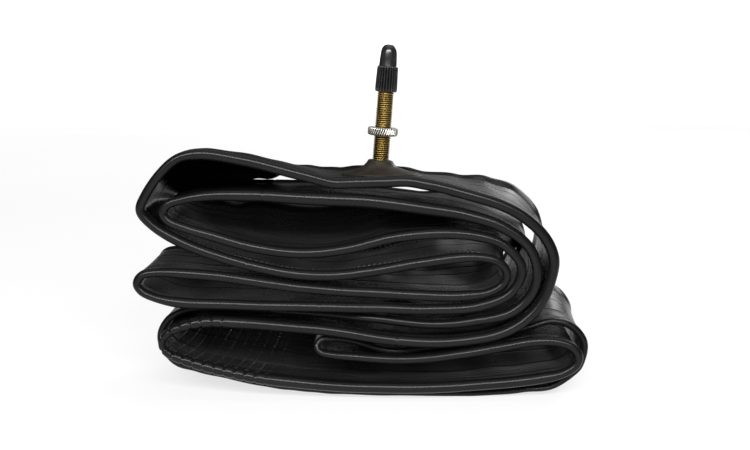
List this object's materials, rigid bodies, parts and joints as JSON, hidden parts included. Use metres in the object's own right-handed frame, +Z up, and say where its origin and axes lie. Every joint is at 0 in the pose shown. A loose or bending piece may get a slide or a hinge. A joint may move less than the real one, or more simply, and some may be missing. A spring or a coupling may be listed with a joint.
{
  "type": "bicycle inner tube",
  "caption": "Flattened bicycle inner tube folded into a compact stack, with a threaded needle valve, ring nut and dust cap standing out of its top layer.",
  "frame": {"origin": "on the surface that the folded stack rests on, under the middle of the object's bounding box", "axes": "+X along the folded runs toward the end where the runs wrap round, +Y across the tube's width away from the front edge, +Z up toward the valve"},
  "size_m": [0.1662, 0.068, 0.1287],
  "materials": {
    "butyl_rubber": "semi-gloss black butyl rubber with moulded lines",
    "foot_rubber": "satin black rubber",
    "seal_rubber": "matte black rubber",
    "stem_brass": "threaded brass, slightly tarnished",
    "core_brass": "bright turned brass",
    "nickel": "nickel plated, knurled",
    "cap_plastic": "glossy black moulded plastic"
  },
  "bodies": {
    "root": {"tube": "butyl_rubber", "valve_patch": "butyl_rubber", "valve_foot": "foot_rubber", "valve_stem": "stem_brass", "valve_core_body": "core_brass", "core_gasket": "seal_rubber"},
    "pin_assembly": {"valve_pin": "core_brass", "pin_seal": "seal_rubber", "seal_retainer": "core_brass"},
    "lock_nut": {"lock_nut": "core_brass"},
    "ring_nut": {"ring_nut": "nickel"},
    "dust_cap": {"dust_cap": "cap_plastic"}
  },
  "joints": [
    {"name": "ring_nut_travel", "type": "slide", "parent": "root", "child": "ring_nut", "axis": [0.0767, 0, 0.9971], "range_m": [-0.009, 0.013]},
    {"name": "dust_cap_pull", "type": "slide", "parent": "root", "child": "dust_cap", "axis": [0.0767, 0, 0.9971], "range_m": [0, 0.022]},
    {"name": "lock_nut_turn", "type": "hinge", "parent": "root", "child": "lock_nut", "pos_m": [0.00892, -0.0065, 0.12248], "axis": [0.0767, 0, 0.9971], "range_deg": [0, 1728]},
    {"name": "pin_travel", "type": "slide", "parent": "root", "child": "pin_assembly", "axis": [0.0767, 0, 0.9971], "range_m": [-0.0024, 0]}
  ],
  "couplings": [
    {"joint": "lock_nut_turn", "follows": "pin_travel", "rad_per_m": -12566}
  ]
}
